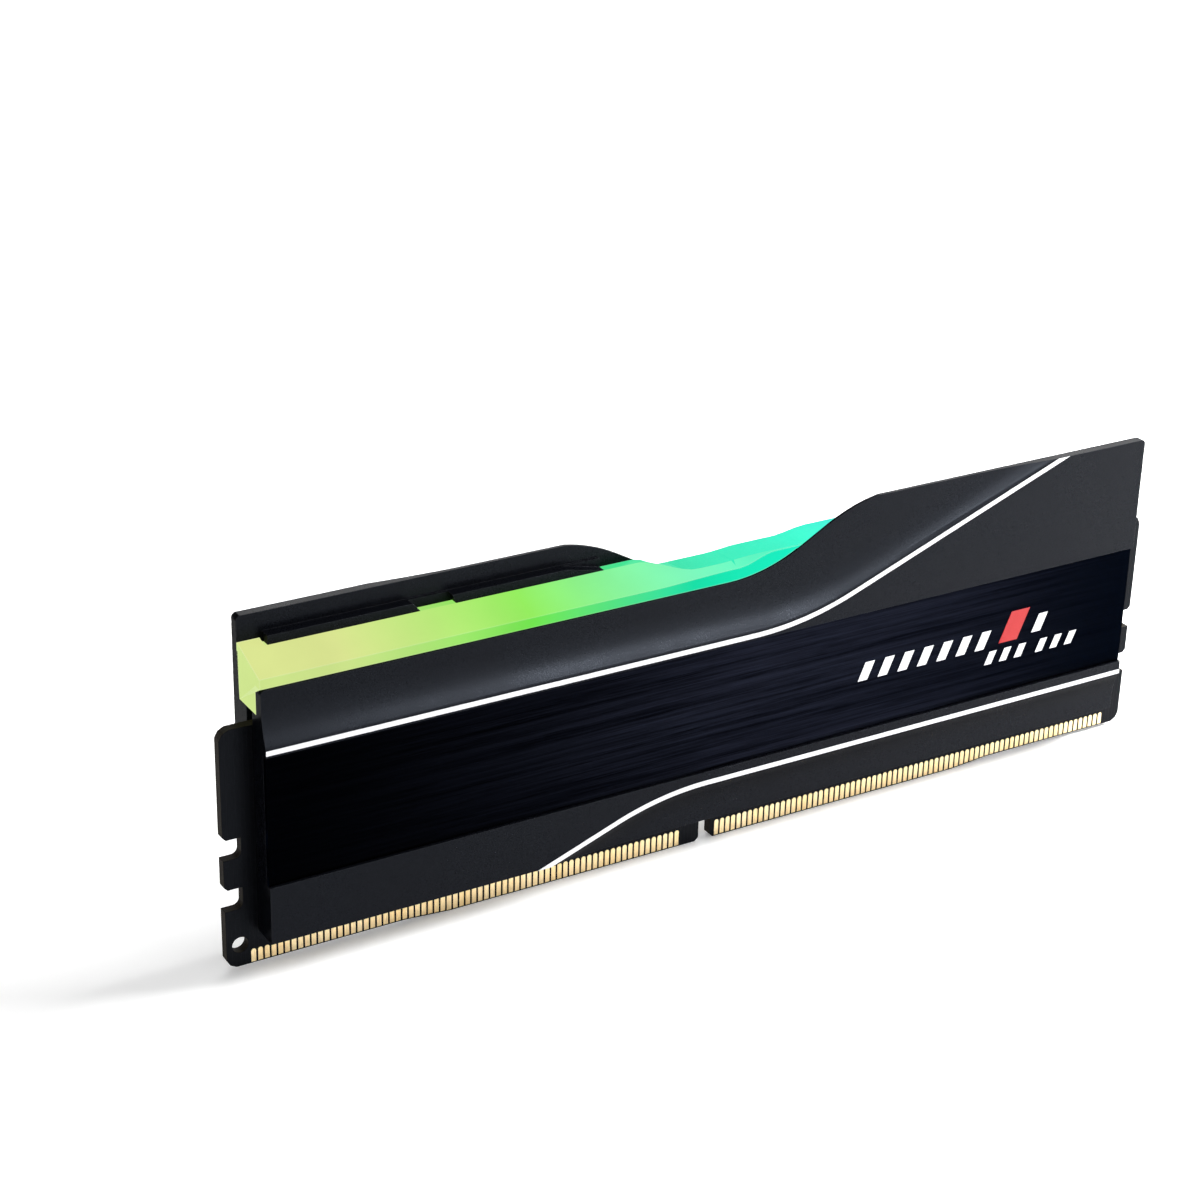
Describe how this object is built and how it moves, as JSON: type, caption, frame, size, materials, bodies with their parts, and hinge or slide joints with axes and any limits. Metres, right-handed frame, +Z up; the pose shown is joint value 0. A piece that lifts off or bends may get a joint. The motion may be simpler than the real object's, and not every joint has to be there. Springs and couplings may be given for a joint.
{
  "type": "ram module",
  "caption": "Desktop memory module: a keyed circuit board with edge contacts between two stepped heat covers, with a lit diffuser bar along the top.",
  "frame": {"origin": "under the middle of the board, at its lowest edge and in the middle of its thickness", "axes": "+X along the board to the right seen from the front, +Y from the front cover to the back cover, +Z up"},
  "size_m": [0.1334, 0.0086, 0.044],
  "materials": {
    "circuit_board": "black solder mask, satin",
    "gold_contacts": "gold-plated, polished",
    "cover_metal": "dark grey, fine matte coating",
    "brushed_strip": "black anodised, brushed lengthwise",
    "adhesive_tape": "double-sided adhesive film",
    "white_paint": "white print",
    "red_paint": "red print",
    "label_film": "plain dark film",
    "light_bar_diffuser": "milky diffuser lit from below",
    "chip_resin": "moulded black resin",
    "coil_body": "pressed ferrite",
    "led_body": "clear lens over a white case",
    "fuse_body": "green resin",
    "capacitor_ceramic": "tan ceramic",
    "resistor_body": "black glaze",
    "thermal_pad": "soft grey-blue pad",
    "foam": "dark foam"
  },
  "bodies": {
    "root": {"board": "circuit_board", "contacts_front": "gold_contacts", "contacts_back": "gold_contacts", "front_cover": "cover_metal", "back_cover": "cover_metal", "front_strip": "brushed_strip", "back_strip": "brushed_strip", "front_strip_tape": "adhesive_tape", "back_strip_tape": "adhesive_tape", "front_accent_lines": "white_paint", "back_accent_lines": "white_paint", "front_badge_bars": "white_paint", "back_badge_bars": "white_paint", "front_badge_accent": "red_paint", "back_badge_accent": "red_paint", "back_label": "label_film", "light_bar": "light_bar_diffuser", "memory_chips": "chip_resin", "power_chip": "chip_resin", "power_coils": "coil_body", "hub_chip": "chip_resin", "light_chip": "chip_resin", "leds": "led_body", "input_fuse": "fuse_body", "bulk_capacitors": "capacitor_ceramic", "bypass_capacitors": "capacitor_ceramic", "resistor_arrays": "resistor_body", "chip_thermal_pad": "thermal_pad", "power_thermal_pad": "thermal_pad", "back_foam_pad": "foam"}
  },
  "joints": []
}
